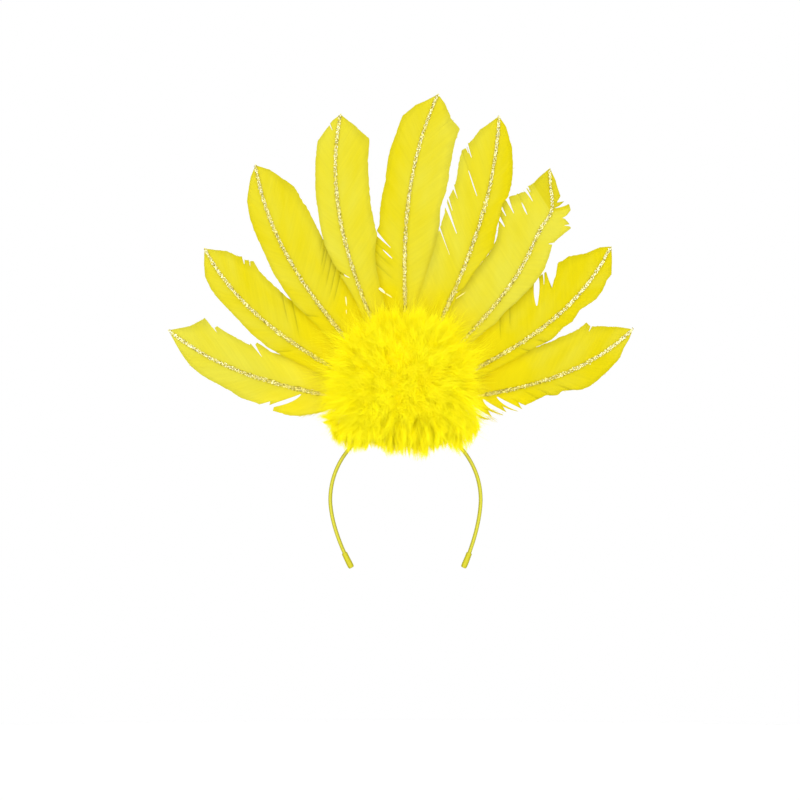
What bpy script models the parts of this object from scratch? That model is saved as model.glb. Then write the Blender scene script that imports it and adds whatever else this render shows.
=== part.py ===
"""Carnival feather headdress: nine trimmed goose feathers fanned over marabou fluff on a satin headband.

Metres, +Z up, +X to the wearer's left as seen from the front, the front faces -Y.
The origin is the inner top centre of the headband, where it sits on the crown of the head.
"""

import math
from collections import namedtuple

import bmesh
import bpy
import numpy as np

# General clearance between pieces that touch
CLEARANCE = 0.0003

# Headband: an arch of half an ellipse over two legs that lean in towards their ends
BAND_SPAN = 0.1208          # across the arch at its widest, centreline to centreline
BAND_RISE = 0.0616          # from the widest level up to the centreline of the top
LEG_DROP = 0.0536           # from the widest level down to the ends
LEFT_LEG_INSET = 0.0168     # how far each end lies inside the widest point
RIGHT_LEG_INSET = 0.0136
LEG_CURVE = 1.7             # power of the inward lean, from upright at the top
BAND_THICKNESS = 0.0034     # radial
BAND_DEPTH = 0.0060         # front to back
SLEEVE_LENGTH = 0.0120      # folded satin end over each tip of the band
SLEEVE_WALL = 0.0006

# Backing: the plain felt plate behind the quill ends
BACKING_RADIUS = 0.0360
BACKING_FOOT = 0.0170       # from the hub down to the plate's straight lower edge
BACKING_THICKNESS = 0.0020

# Fan: all nine shafts run out from one hub
HUB_SIDE = -0.0028
HUB_HEIGHT = 0.0050
ROOT_RING = 0.0300          # from the hub to the cut ends of the quills
BARE_QUILL = 0.0150         # quill without barbs, from its cut end
LAYER_RUN = 0.0450          # length over which a feather rises to its own layer
FEATHER_REACH = 0.2600      # from the hub to the tip of the longest feather
VANE_WIDTH = 0.0450         # usual width of a feather, both sides together
CUT_LENGTH = 0.0300         # usual length of the slanting cut beside the tip
VANE_THICKNESS = 0.0009
EDGE_THINNING = 0.7         # share of that thickness left at the edges
CAMBER = 0.0014             # how far the edges of a feather lie behind its shaft
TIP_CURL = 0.0080           # how far the longest tip bends back
QUILL_ROOT = 0.0026
QUILL_TIP = 0.0010
BARB_SLANT = 1.1            # rise of a barb along the shaft for each unit across
ROW_PITCH = 0.0110          # spacing of the rows of a vane's mesh
NOTCH_MOUTH = 0.0016        # half the opening of a split between barbs

# Glitter line: dried glitter glue along the front of each shaft
GLITTER_WIDTH = 0.0020
GLITTER_HEIGHT = 0.0009
GLITTER_INSIDE = 0.0450     # distance past the quill's cut end at which the line starts
GLITTER_TIP_GAP = 0.0010

# Marabou: an upper mass over the quills and a lower row that hangs over the band
FLUFF_HALF_WIDTH = 0.0530
FLUFF_CENTRE = 0.0360       # height of its widest level
FLUFF_RISE = 0.0530         # from there up to the top of the core
FLUFF_PARTING = 0.0023      # height of the crease between the mass and the row
FLUFF_DEPTH = 0.0210        # how far the middle of the mass stands out
FLUFF_RIM = 0.0060          # thickness at its rim
FLUFF_SQUARE = 0.8          # below 1 the outline is squarer than an ellipse
BOSS_GAP = 0.0050           # from the boss on the backing out to the quill ends
ROW_HALF_WIDTH = 0.0610
ROW_DROP = 0.0130           # height of the lower row's core
ROW_DEPTH = 0.0240
ROW_TAPER = 0.55            # share of the row's height and depth that is lost towards its ends
LOCK_LENGTH = 0.0150
LOCK_RADIUS = 0.0052
LOCK_SIDES = 5
LOCK_WAVE = 0.25            # how much longer or shorter than usual a lock is

Feather = namedtuple(
    "Feather",
    "lean reach bow kink left right left_cut right_cut left_full right_full layer",
)
# lean: degrees from upright, right of it positive. reach, bow and kink: shares of
# FEATHER_REACH, bow being the sideways arc of the shaft and kink its bend near the tip.
# left and right: shares of VANE_WIDTH. cuts: shares of CUT_LENGTH. full: share of the
# feather's own reach from which that side has its full width. layer: steps forward.
FEATHERS = [
    Feather(-69.1, 0.770, -0.041, 0.000, 0.41, 0.56, 0.87, 0.80, 0.52, 0.58, 0),
    Feather(-49.4, 0.804, -0.050, 0.000, 0.31, 0.59, 0.67, 1.13, 0.53, 0.55, 1),
    Feather(-30.0, 0.892, -0.056, 0.000, 0.36, 0.69, 0.83, 0.90, 0.54, 0.50, 2),
    Feather(-11.5, 0.946, -0.066, 0.000, 0.37, 0.59, 0.53, 0.73, 0.61, 0.61, 3),
    Feather(6.4, 1.000, -0.055, 0.000, 0.49, 0.62, 0.67, 0.83, 0.50, 0.45, 2),
    Feather(17.9, 0.973, 0.045, 0.000, 0.64, 0.34, 1.10, 0.93, 0.50, 0.61, 3),
    Feather(30.5, 0.896, 0.081, 0.023, 0.74, 0.37, 1.20, 0.60, 0.60, 0.60, 2),
    Feather(50.6, 0.823, 0.060, 0.000, 0.60, 0.28, 1.07, 0.47, 0.58, 0.50, 1),
    Feather(69.0, 0.754, 0.052, 0.000, 0.61, 0.34, 1.03, 0.80, 0.60, 0.45, 0),
]

Notch = namedtuple("Notch", "feather side at depth")
# side: -1 left, 1 right. at: share of the feather's reach. depth: share of that side.
NOTCHES = [
    Notch(1, 1, 0.64, 0.35),
    Notch(2, 1, 0.86, 0.28),
    Notch(5, -1, 0.57, 0.45),
    Notch(6, -1, 0.86, 0.30),
    Notch(6, -1, 0.72, 0.45),
    Notch(6, -1, 0.60, 0.50),
    Notch(7, -1, 0.82, 0.40),
    Notch(7, 1, 0.88, 0.60),
    Notch(8, -1, 0.76, 0.35),
    Notch(9, 1, 0.66, 0.25),
]

# The dome of the upper mass, from its rim inwards: shares of its outline, and shares of
# the way from the rim's thickness to the full depth.
DOME = [(0.85, 0.55), (0.60, 0.80), (0.30, 0.95)]

LockRing = namedtuple("LockRing", "share count forward length")
# share: share of the outline. forward: lean to the front for each unit outwards.
# length: share of LOCK_LENGTH.
UPPER_LOCKS = [
    LockRing(1.00, 26, 0.25, 1.00),
    LockRing(0.82, 20, 0.80, 0.75),
    LockRing(0.55, 13, 1.30, 0.75),
    LockRing(0.25, 7, 2.20, 0.75),
]

LockRow = namedtuple("LockRow", "depth count forward rise")
# depth: share of ROW_DEPTH. forward: lean to the front for each unit down.
# rise: share of ROW_DROP at which the roots sit.
LOWER_LOCKS = [
    LockRow(0.35, 17, 0.00, 0.92),
    LockRow(0.80, 16, 0.35, 0.77),
]

LAYER_STEP = VANE_THICKNESS + CAMBER + CLEARANCE
BACKING_FRONT = -(BAND_DEPTH / 2 + CLEARANCE + BACKING_THICKNESS)
QUILL_PLANE = BACKING_FRONT - CLEARANCE - QUILL_ROOT / 2
TOP_LAYER = max(feather.layer for feather in FEATHERS)
FLUFF_BACK = QUILL_PLANE - TOP_LAYER * LAYER_STEP - QUILL_ROOT / 2 - GLITTER_HEIGHT - 2 * CLEARANCE
WIDEST_LEVEL = BAND_THICKNESS / 2 - BAND_RISE


def clear_scene():
    for thing in list(bpy.data.objects):
        bpy.data.objects.remove(thing, do_unlink=True)


def material(name, colour, roughness, metallic=0.0):
    """A Principled material with one colour, given as sRGB shares."""
    made = bpy.data.materials.new(name)
    made.use_nodes = True
    shader = made.node_tree.nodes["Principled BSDF"]
    linear = [((c + 0.055) / 1.055) ** 2.4 for c in colour]
    shader.inputs["Base Color"].default_value = (*linear, 1.0)
    shader.inputs["Roughness"].default_value = roughness
    shader.inputs["Metallic"].default_value = metallic
    return made


def lofted(name, rings, look):
    """A closed solid through rings of equal point counts, with a flat cap on the first and last."""
    rings = np.asarray(rings, float)
    rows, sides, _ = rings.shape
    mesh = bpy.data.meshes.new(name)
    build = bmesh.new()
    points = [[build.verts.new(p) for p in ring] for ring in rings]
    for i in range(rows - 1):
        for j in range(sides):
            k = (j + 1) % sides
            build.faces.new((points[i][j], points[i][k], points[i + 1][k], points[i + 1][j]))
    build.faces.new(points[0])
    build.faces.new(points[-1])
    bmesh.ops.triangulate(build, faces=build.faces[:])
    bmesh.ops.recalc_face_normals(build, faces=build.faces[:])
    build.to_mesh(mesh)
    build.free()
    mesh.shade_smooth()
    mesh.set_sharp_from_angle(angle=math.radians(35))
    mesh.materials.append(look)
    solid = bpy.data.objects.new(name, mesh)
    bpy.context.scene.collection.objects.link(solid)
    return solid


def smooth(share):
    share = np.clip(share, 0, 1)
    return share * share * (3 - 2 * share)


# Headband and its end sleeves

def leg_point(side, drop):
    """Centreline at a depth below the widest level, on the left leg (side -1) or the right (1)."""
    inset = LEFT_LEG_INSET if side < 0 else RIGHT_LEG_INSET
    lean = inset * (np.maximum(drop, 0) / LEG_DROP) ** LEG_CURVE
    return side * (BAND_SPAN / 2 - lean), WIDEST_LEVEL - drop


def band_sections(x, z, thickness, depth, sides=8):
    """Rounded sections square to a path in the XZ plane."""
    along = np.stack([np.gradient(x), np.gradient(z)], 1)
    along /= np.linalg.norm(along, axis=1, keepdims=True)
    turn = (np.arange(sides) + 0.5) / sides * 2 * math.pi
    round_out = 0.75
    across = np.sign(np.cos(turn)) * np.abs(np.cos(turn)) ** round_out
    forward = np.sign(np.sin(turn)) * np.abs(np.sin(turn)) ** round_out
    across, forward = across / across.max(), forward / forward.max()
    offset = np.multiply.outer(thickness / 2 * np.ones(len(x)), across)
    rings = np.zeros((len(x), sides, 3))
    rings[..., 0] = x[:, None] - along[:, 1:] * offset
    rings[..., 1] = np.multiply.outer(depth / 2 * np.ones(len(x)), forward)
    rings[..., 2] = z[:, None] + along[:, :1] * offset
    return rings


def make_headband(look):
    drops = np.linspace(LEG_DROP, 0, 8)[:-1]
    turns = np.radians(np.linspace(-90, 90, 25))
    left_x, left_z = leg_point(-1, drops)
    right_x, right_z = leg_point(1, drops[::-1])
    x = np.concatenate([left_x, BAND_SPAN / 2 * np.sin(turns), right_x])
    z = np.concatenate([left_z, WIDEST_LEVEL + BAND_RISE * np.cos(turns), right_z])
    lofted("headband", band_sections(x, z, BAND_THICKNESS, BAND_DEPTH), look)


def make_band_ends(look):
    """Each sleeve is a cup: its outside runs up to the mouth, and its inside back down to the floor."""
    mouth = LEG_DROP - SLEEVE_LENGTH
    floor = LEG_DROP + CLEARANCE
    end = floor + SLEEVE_WALL
    bore = 2 * CLEARANCE
    wall = bore + 2 * SLEEVE_WALL
    for side, name in ((-1, "band_end_left"), (1, "band_end_right")):
        outside = leg_point(side, np.linspace(end, mouth, 5))
        inside = leg_point(side, np.linspace(floor, mouth, 5))
        outer = band_sections(*outside, BAND_THICKNESS + wall, BAND_DEPTH + wall)
        inner = band_sections(*inside, BAND_THICKNESS + bore, BAND_DEPTH + bore)
        lofted(name, np.concatenate([outer, inner[::-1]]), look)


# Backing plate

def make_backing(look):
    """An upright plate: half a disc about the hub with straight sides down to its lower edge."""
    turns = np.radians(np.linspace(0, 180, 17))
    x = HUB_SIDE + BACKING_RADIUS * np.cos(turns)
    z = HUB_HEIGHT + BACKING_RADIUS * np.sin(turns)
    x = np.concatenate([x, [x[-1], x[0]]])
    z = np.concatenate([z, [HUB_HEIGHT - BACKING_FOOT] * 2])
    front = np.stack([x, np.full(len(x), BACKING_FRONT), z], 1)
    back = front + [0, BACKING_THICKNESS, 0]
    lofted("backing", [front, back], look)


# Feathers

def shaft_offset(feather, t):
    """Sideways distance of the shaft from the straight line between hub and tip."""
    reach = feather.reach * FEATHER_REACH
    u = np.clip((t - ROOT_RING) / (reach - ROOT_RING), 0, 1)
    arc = u ** 1.5 * (1 - u) / (0.6 ** 1.5 * 0.4)
    kink = np.exp(-(((u - 0.86) / 0.07) ** 2))
    return FEATHER_REACH * (feather.bow * arc + feather.kink * kink)


def shaft_depth(feather, t):
    """The shaft's place front to back: up to its own layer, then bending back towards the tip."""
    rise = smooth((t - ROOT_RING) / LAYER_RUN) * feather.layer * LAYER_STEP
    curl = TIP_CURL * ((t - ROOT_RING) / FEATHER_REACH) ** 2
    return QUILL_PLANE - rise + curl


def quill_size(feather, t):
    reach = feather.reach * FEATHER_REACH
    share = (t - ROOT_RING) / (reach - ROOT_RING)
    return QUILL_ROOT + (QUILL_TIP - QUILL_ROOT) * share


def placed(feather, t, w, y):
    """Points from a feather's own length t, width w and depth y."""
    lean = math.radians(feather.lean)
    side = w + shaft_offset(feather, t)
    x = HUB_SIDE + t * math.sin(lean) + side * math.cos(lean)
    z = HUB_HEIGHT + t * math.cos(lean) - side * math.sin(lean)
    return np.stack([x, y, z], -1)


def barb_reach(feather, t, side):
    """Length across the feather of the barb that leaves the shaft at t."""
    share, cut, full = (
        (feather.left, feather.left_cut, feather.left_full)
        if side < 0
        else (feather.right, feather.right_cut, feather.right_full)
    )
    reach = feather.reach * FEATHER_REACH
    width, cut = share * VANE_WIDTH, cut * CUT_LENGTH
    bare = ROOT_RING + BARE_QUILL
    root = smooth((t - bare) / (full * reach - width * BARB_SLANT - bare))
    trimmed = (reach - t) / (cut + width * BARB_SLANT)
    return width * np.minimum(root, np.clip(trimmed, 0, 1))


def vane_rows(feather, notches):
    """Where the rows of the mesh leave the shaft: even steps, the two shoulders and each split."""
    reach = feather.reach * FEATHER_REACH
    shoulders = [
        reach - cut * CUT_LENGTH - share * VANE_WIDTH * BARB_SLANT
        for cut, share in ((feather.left_cut, feather.left), (feather.right_cut, feather.right))
    ]
    splits = [s + step for s, _, _ in notches for step in (-NOTCH_MOUTH, 0, NOTCH_MOUTH)]
    kept = sorted(splits)
    last = reach - QUILL_TIP
    for t in shoulders + list(np.linspace(ROOT_RING, last, round((last - ROOT_RING) / ROW_PITCH))):
        if all(abs(t - other) > ROW_PITCH / 3 for other in kept) or t in (ROOT_RING, last):
            kept.append(t)
    return np.array(sorted(kept))


def make_feather(number, feather, look):
    reach = feather.reach * FEATHER_REACH
    notches = []
    for notch in NOTCHES:
        if notch.feather == number:
            width = (feather.left if notch.side < 0 else feather.right) * VANE_WIDTH
            notches.append((notch.at * reach - width * BARB_SLANT, notch.side, notch.depth))
    t = vane_rows(feather, notches)
    quill = quill_size(feather, t)
    edges = {}
    for side in (-1, 1):
        edge = barb_reach(feather, t, side)
        for split, split_side, depth in notches:
            if split_side == side:
                edge = np.where(np.abs(t - split) < NOTCH_MOUTH / 2, edge * (1 - depth), edge)
        edges[side] = np.maximum(edge, quill / 2 + VANE_THICKNESS / 2)
    across = np.stack([-edges[-1], -quill / 2, 0 * t, quill / 2, edges[1]], 1)
    spread = np.abs(across) / (VANE_WIDTH / 2)
    thin, full = VANE_THICKNESS * EDGE_THINNING + 0 * t, VANE_THICKNESS + 0 * t
    thick = np.stack([thin, full, quill, full, thin], 1)
    length = t[:, None] + np.maximum(np.abs(across) - quill[:, None] / 2, 0) * BARB_SLANT
    middle = shaft_depth(feather, length) + CAMBER * np.minimum(spread, 1) ** 2
    front = placed(feather, length, across, middle - thick / 2)
    back = placed(feather, length, across, middle + thick / 2)
    lofted(f"feather_{number}", np.concatenate([front, back[:, ::-1]], 1), look)


def make_glitter_line(number, feather, look):
    """A flattened bead a clearance in front of the shaft, from under the fluff to the tip."""
    start = ROOT_RING + GLITTER_INSIDE
    end = feather.reach * FEATHER_REACH - GLITTER_TIP_GAP
    t = np.linspace(start, end, 15)
    base = shaft_depth(feather, t) - quill_size(feather, t) / 2 - CLEARANCE
    corners = [(-0.5, 0.0), (0.5, 0.0), (0.3, 1.0), (-0.3, 1.0)]
    rings = [
        placed(feather, t, w * GLITTER_WIDTH + 0 * t, base - h * GLITTER_HEIGHT) for w, h in corners
    ]
    lofted(f"glitter_line_{number}", np.stack(rings, 1), look)


# Marabou

def fluff_outline(turns):
    """Outline of the upper mass: a square-cornered ellipse, flatter below its widest level."""
    c, s = np.cos(turns), np.sin(turns)
    side = np.sign(c) * np.abs(c) ** FLUFF_SQUARE
    up = np.sign(s) * np.abs(s) ** FLUFF_SQUARE
    height = np.where(s > 0, FLUFF_RISE, FLUFF_CENTRE - FLUFF_PARTING)
    return FLUFF_HALF_WIDTH * side, height * up


def guide(tool):
    """Keeps a shape that only joins another out of the model."""
    tool.hide_render = True
    tool.display_type = "WIRE"
    return tool


def lock(start, direction, bend, length):
    """A tapered tuft: a five-sided root inside the core, a waist and a narrow tip that bends."""
    direction = np.asarray(direction, float) / np.linalg.norm(direction)
    helper = np.array([0.0, 1.0, 0.0]) if abs(direction[1]) < 0.8 else np.array([1.0, 0.0, 0.0])
    side = np.cross(direction, helper)
    side /= np.linalg.norm(side)
    other = np.cross(direction, side)
    turns = np.arange(LOCK_SIDES) / LOCK_SIDES * 2 * math.pi
    ring = np.multiply.outer(np.cos(turns), side) + np.multiply.outer(np.sin(turns), other)
    rings = []
    for along, wide in ((-0.35, 0.9), (0.35, 1.0), (0.75, 0.55), (1.0, 0.08)):
        centre = start + direction * length * along + np.multiply(bend, length * max(along, 0) ** 2)
        rings.append(centre + ring * LOCK_RADIUS * wide)
    return guide(lofted("lock", rings, None))


def fused(name, core, tufts):
    """The core with every tuft joined to it in one solid."""
    group = bpy.data.collections.new(name + "_tufts")
    bpy.context.scene.collection.children.link(group)
    for tuft in tufts:
        bpy.context.scene.collection.objects.unlink(tuft)
        group.objects.link(tuft)
    join = core.modifiers.new("tufts", "BOOLEAN")
    join.operation = "UNION"
    join.operand_type = "COLLECTION"
    join.collection = group
    join.solver = "EXACT"


def dome_core(look, sides=24):
    """The upper mass without its locks: a dome with a flat back in front of the fan."""
    x, z = fluff_outline(np.linspace(0, 2 * math.pi, sides, endpoint=False))
    rings = [(1.0, 0.0), (1.0, FLUFF_RIM)]
    rings += [(share, FLUFF_RIM + (FLUFF_DEPTH - FLUFF_RIM) * out) for share, out in DOME]
    points = [
        np.stack([HUB_SIDE + share * x, np.full(sides, FLUFF_BACK - depth), FLUFF_CENTRE + share * z], 1)
        for share, depth in rings
    ]
    return lofted("marabou_upper", points, look)


def boss():
    """The hidden block between the quill ends that carries the upper mass on the backing."""
    bend = np.radians(np.linspace(0, 180, 9))
    x = HUB_SIDE + (ROOT_RING - BOSS_GAP) * np.cos(bend)
    z = np.maximum(HUB_HEIGHT + (ROOT_RING - BOSS_GAP) * np.sin(bend), FLUFF_PARTING + LOCK_RADIUS)
    ends = (BACKING_FRONT - CLEARANCE, FLUFF_BACK - FLUFF_RIM / 2)
    return guide(lofted("boss", [np.stack([x, np.full(9, y), z], 1) for y in ends], None))


def upper_lock(ring, turn):
    """A lock on the dome, leaning outwards and forward; one near the crease stays level with it."""
    side, up = (float(v) for v in fluff_outline(np.array(turn)))
    low = up * ring.share + FLUFF_CENTRE < FLUFF_PARTING + 2 * LOCK_RADIUS
    out = np.array([side, 0.0, 0.0 if low else up])
    out /= np.linalg.norm(out)
    dome = FLUFF_RIM + (FLUFF_DEPTH - FLUFF_RIM) * (1 - ring.share ** 3)
    rooted = 0.97 * ring.share
    start = np.array([
        HUB_SIDE + side * rooted,
        FLUFF_BACK - max(0.75 * dome, LOCK_RADIUS + CLEARANCE),
        max(FLUFF_CENTRE + up * rooted, FLUFF_PARTING + 1.1 * LOCK_RADIUS),
    ])
    bend = (0.18 * math.sin(7 * turn), 0.0, 0.0 if low else -0.12)
    length = LOCK_LENGTH * ring.length * (1 + LOCK_WAVE * math.sin(5.1 * turn + 3 * ring.share))
    return lock(start, out - np.array([0, ring.forward, 0]), bend, length)


def make_marabou_upper(look):
    tufts = [boss()]
    for ring in UPPER_LOCKS:
        first = 0.5 * (ring.count % 3)
        for i in range(ring.count):
            tufts.append(upper_lock(ring, (i + first) / ring.count * 2 * math.pi))
    fused("marabou_upper", dome_core(look), tufts)


def row_share(share):
    """Height and depth of the lower row along its length: 1 in the middle, less at the ends."""
    return 1 - ROW_TAPER + ROW_TAPER * math.sqrt(1 - 0.92 * share ** 4)


def make_marabou_lower(look):
    """A bar under the crease whose tufts hang straight down over the front of the band."""
    top = FLUFF_PARTING - CLEARANCE
    back = BACKING_FRONT - CLEARANCE
    corners = [(0, 0), (1, 0), (1, -0.45), (0.65, -1), (0, -1)]
    rings = []
    for share in np.linspace(-1, 1, 13):
        x = HUB_SIDE + share * ROW_HALF_WIDTH
        depth, drop = ROW_DEPTH * row_share(share), ROW_DROP * row_share(share)
        rings.append([(x, back - y * depth, top + z * drop) for y, z in corners])
    core = lofted("marabou_lower", rings, look)
    tufts = []
    for number, row in enumerate(LOWER_LOCKS):
        shift = 0.25 * number
        for i in range(row.count):
            share = (i + 0.5 + shift) / (row.count + shift) * 2 - 1
            start = np.array([
                HUB_SIDE + share * (ROW_HALF_WIDTH - LOCK_RADIUS * 0.6),
                back - max(row.depth * ROW_DEPTH * row_share(share), 1.3 * LOCK_RADIUS),
                top - ROW_DROP * row_share(share) * row.rise,
            ])
            direction = (0.5 * share ** 3, -row.forward, -1.0)
            bend = (0.15 * math.sin(2.3 * i), -0.05, 0.0)
            length = LOCK_LENGTH * (1 + LOCK_WAVE * math.sin(3.7 * i + 2 * number))
            tufts.append(lock(start, direction, bend, length))
    fused("marabou_lower", core, tufts)


def main():
    clear_scene()
    satin = material("yellow_satin", (0.90, 0.86, 0.22), 0.38)
    make_headband(satin)
    make_band_ends(material("yellow_satin_ends", (0.86, 0.80, 0.20), 0.42))
    make_backing(material("yellow_felt", (0.92, 0.84, 0.10), 0.95))
    vane = material("dyed_goose_feather", (0.95, 0.88, 0.12), 0.55)
    glitter = material("champagne_glitter", (0.86, 0.82, 0.66), 0.30, 0.6)
    for number, feather in enumerate(FEATHERS, 1):
        make_feather(number, feather, vane)
        make_glitter_line(number, feather, glitter)
    fluff = material("yellow_marabou", (0.99, 0.90, 0.05), 0.90)
    make_marabou_upper(fluff)
    make_marabou_lower(fluff)


main()
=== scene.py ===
"""Looks of a carnival feather headdress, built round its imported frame.

Lengths inside the sections are millimetres, and `surface` turns them to metres. +Z is up, the
front faces -Y, and the origin is the inner top centre of the headband.
"""

import math
from collections import namedtuple

import bpy
import numpy as np
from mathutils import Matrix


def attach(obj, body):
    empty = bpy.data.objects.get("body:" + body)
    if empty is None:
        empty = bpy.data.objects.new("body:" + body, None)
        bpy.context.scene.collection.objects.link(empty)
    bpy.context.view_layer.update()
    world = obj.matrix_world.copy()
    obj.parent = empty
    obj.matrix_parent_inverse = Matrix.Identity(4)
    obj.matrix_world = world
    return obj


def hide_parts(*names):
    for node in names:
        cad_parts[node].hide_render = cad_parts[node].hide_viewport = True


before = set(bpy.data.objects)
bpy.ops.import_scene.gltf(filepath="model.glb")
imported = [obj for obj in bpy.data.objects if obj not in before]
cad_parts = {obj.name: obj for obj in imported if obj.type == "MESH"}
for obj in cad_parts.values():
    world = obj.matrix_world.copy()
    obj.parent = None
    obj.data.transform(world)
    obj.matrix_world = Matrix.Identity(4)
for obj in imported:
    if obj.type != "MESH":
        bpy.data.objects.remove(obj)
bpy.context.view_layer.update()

# Headband.
# A springy plastic band wrapped in a yellow satin ribbon, whose two edges are glued in a lap
# along the inner face. The satin shines along its length and puckers a little inside the curve.

CLEARANCE = 0.3
BAND_SPAN = 120.8
BAND_RISE = 61.6
LEG_DROP = 53.6
LEFT_LEG_INSET = 16.8
RIGHT_LEG_INSET = 13.6
LEG_CURVE = 1.7
BAND_THICKNESS = 3.4
BAND_DEPTH = 6.0
WIDEST_LEVEL = BAND_THICKNESS / 2 - BAND_RISE
LAP_HEIGHT = 0.22
PUCKER_PITCH = 2.3
PUCKER_HEIGHT = 0.03
SATIN_THREAD = 0.45     # real satin threads are about 0.1 mm apart, drawn coarser so that they show
SATIN_YELLOW = "C9C442"
SATIN_SHADE = "A49E04"
SECTION_POWER = 0.7     # how square a section is: 1 is an ellipse, less is squarer
SECTION_SIDES = 30
LEG_RINGS = 89
ARCH_RINGS = 260


def points_of(*sides):
    """Points from their coordinates, which are arrays that stretch to one shape."""
    return np.stack(np.broadcast_arrays(*sides), -1)


def full_turn(count):
    """Angles evenly round a full turn."""
    return np.arange(count) * (2 * math.pi / count)


def leg_point(side, drop):
    """Centreline of a leg: straight down from the widest level, leaning in by the drop to a power."""
    inset = LEFT_LEG_INSET if side < 0 else RIGHT_LEG_INSET
    lean = inset * (np.maximum(drop, 0) / LEG_DROP) ** LEG_CURVE
    return side * (BAND_SPAN / 2 - lean), WIDEST_LEVEL - drop


def band_grid(x, z, turn, thickness, depth):
    """Sections carried along a path in the XZ plane.

    A section is a squared ellipse: each axis is its half size times the cosine or sine of the
    turn to the section power, laid along the path's normal and along Y.
    """
    along = np.stack([np.gradient(x), np.gradient(z)], 1)
    along /= np.linalg.norm(along, axis=1, keepdims=True)
    across, forward = (np.sign(s) * np.abs(s) ** SECTION_POWER for s in (np.cos(turn), np.sin(turn)))
    out = thickness / 2 * across
    return points_of(x[:, None] - along[:, 1:] * out, depth / 2 * forward, z[:, None] + along[:, :1] * out)


def grid_faces(rows, columns, wrap=False):
    """Quads between neighbouring points of a grid, joined round its columns where it wraps."""
    row = np.arange(rows - 1)[:, None]
    column = np.arange(columns if wrap else columns - 1)[None, :]
    after = (column + 1) % columns
    corners = (row * columns + column, row * columns + after, (row + 1) * columns + after)
    return np.stack([*corners, (row + 1) * columns + column], -1).reshape(-1, 4)


def added(name, data):
    """An object that shows a mesh, a lamp or a camera in the scene."""
    made = bpy.data.objects.new(name, data)
    bpy.context.scene.collection.objects.link(made)
    return made


def surface(name, points, faces, looks, uv=None):
    """A piece from points in millimetres, lists of point numbers, and a UV pair for each point."""
    mesh = bpy.data.meshes.new(name)
    mesh.from_pydata(np.reshape(points, (-1, 3)) * 0.001, [], [list(face) for face in faces])
    if uv is not None:
        corner = np.zeros(len(mesh.loops), int)
        mesh.loops.foreach_get("vertex_index", corner)
        layer = mesh.uv_layers.new(name="UVMap")
        layer.data.foreach_set("uv", np.reshape(uv, (-1, 2))[corner].ravel())
    for look in looks:
        mesh.materials.append(look)
    mesh.shade_smooth()
    return added(name, mesh)


def closed_tube(name, grid, looks, uv=None):
    """A grid of rings as one solid, its two ends closed with a flat face; rings run round +path."""
    rows, sides, _ = grid.shape
    faces = grid_faces(rows, sides, wrap=True).tolist()
    faces.append(list(range(sides - 1, -1, -1)))
    faces.append(list(range((rows - 1) * sides, rows * sides)))
    return surface(name, grid, faces, looks, uv)


def mount(piece, slot, *nodes):
    """Carries a piece on the one body and hides the solids it stands for; its slot is not used."""
    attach(piece, "root")
    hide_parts(*nodes)
    return piece


def linear(colour):
    """An sRGB hex colour to linear red, green, blue and alpha by the sRGB power formula."""
    shares = [int(colour[i : i + 2], 16) / 255 for i in (0, 2, 4)]
    return [c / 12.92 if c < 0.04045 else ((c + 0.055) / 1.055) ** 2.4 for c in shares] + [1.0]


def node(tree, kind, inputs=None, **settings):
    """Adds a shader node, with its settings and its sockets: an output is linked, a value is set."""
    made = tree.nodes.new(f"ShaderNode{kind}")
    for key, value in settings.items():
        setattr(made, key, value)
    for key, value in (inputs or {}).items():
        if isinstance(value, bpy.types.NodeSocket):
            tree.links.new(value, made.inputs[key])
        else:
            made.inputs[key].default_value = value
    return made


def new_look(name):
    """An empty material and its node tree."""
    look = bpy.data.materials.new(name)
    look.use_nodes = True
    look.node_tree.nodes.clear()
    return look, look.node_tree


def coordinates(tree, kind, scale=None):
    """Where a point lies, by the piece's UV or its metres, stretched by a scale for each way."""
    place = node(tree, "TexCoord").outputs[kind]
    if scale is None:
        return place
    return node(tree, "Mapping", {"Vector": place, "Scale": scale}).outputs[0]


def attribute(tree, name):
    """A number that each point of the piece has of its own."""
    return node(tree, "Attribute", attribute_name=name).outputs["Fac"]


def noise(tree, place, scale, detail, **more):
    """Noise from 0 to 1: a scale of 1 changes over about one unit of the place."""
    settings = {"Vector": place, "Scale": scale, "Detail": detail, **more}
    return node(tree, "TexNoise", settings).outputs["Fac"]


def ranged(tree, value, *limits):
    """A value mapped from one range to another: from low, from high, to low and to high."""
    return node(tree, "MapRange", {0: value, **dict(enumerate(limits, 1))}).outputs[0]


def combined(tree, how, first, second, **more):
    """Two values added or multiplied."""
    return node(tree, "Math", {0: first, 1: second}, operation=how, **more).outputs[0]


def mixed(tree, factor, low, high, how="MIX"):
    """A colour between two, each an sRGB hex colour or a socket."""
    low, high = (linear(colour) if isinstance(colour, str) else colour for colour in (low, high))
    inputs = {"Factor": factor, 6: low, 7: high}
    return node(tree, "Mix", inputs, data_type="RGBA", blend_type=how).outputs[2]


def bumped(tree, height, strength, distance):
    """Normals tilted by a height, which is `distance` metres deep at full strength."""
    inputs = {"Height": height, "Strength": strength, "Distance": distance}
    return node(tree, "Bump", inputs).outputs[0]


def principled(tree, **inputs):
    """The main shader, with its sockets named in small letters, and an underscore for a space."""
    names = {"ior": "IOR", "base_color": "Base Color", "specular": "Specular IOR Level"}
    sockets = {names.get(key, key.replace("_", " ").title()): value for key, value in inputs.items()}
    return node(tree, "BsdfPrincipled", sockets)


def finished(look, shader):
    """The material, with its shader linked to its output."""
    node(look.node_tree, "OutputMaterial", {"Surface": shader.outputs[0]})
    return look


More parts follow.
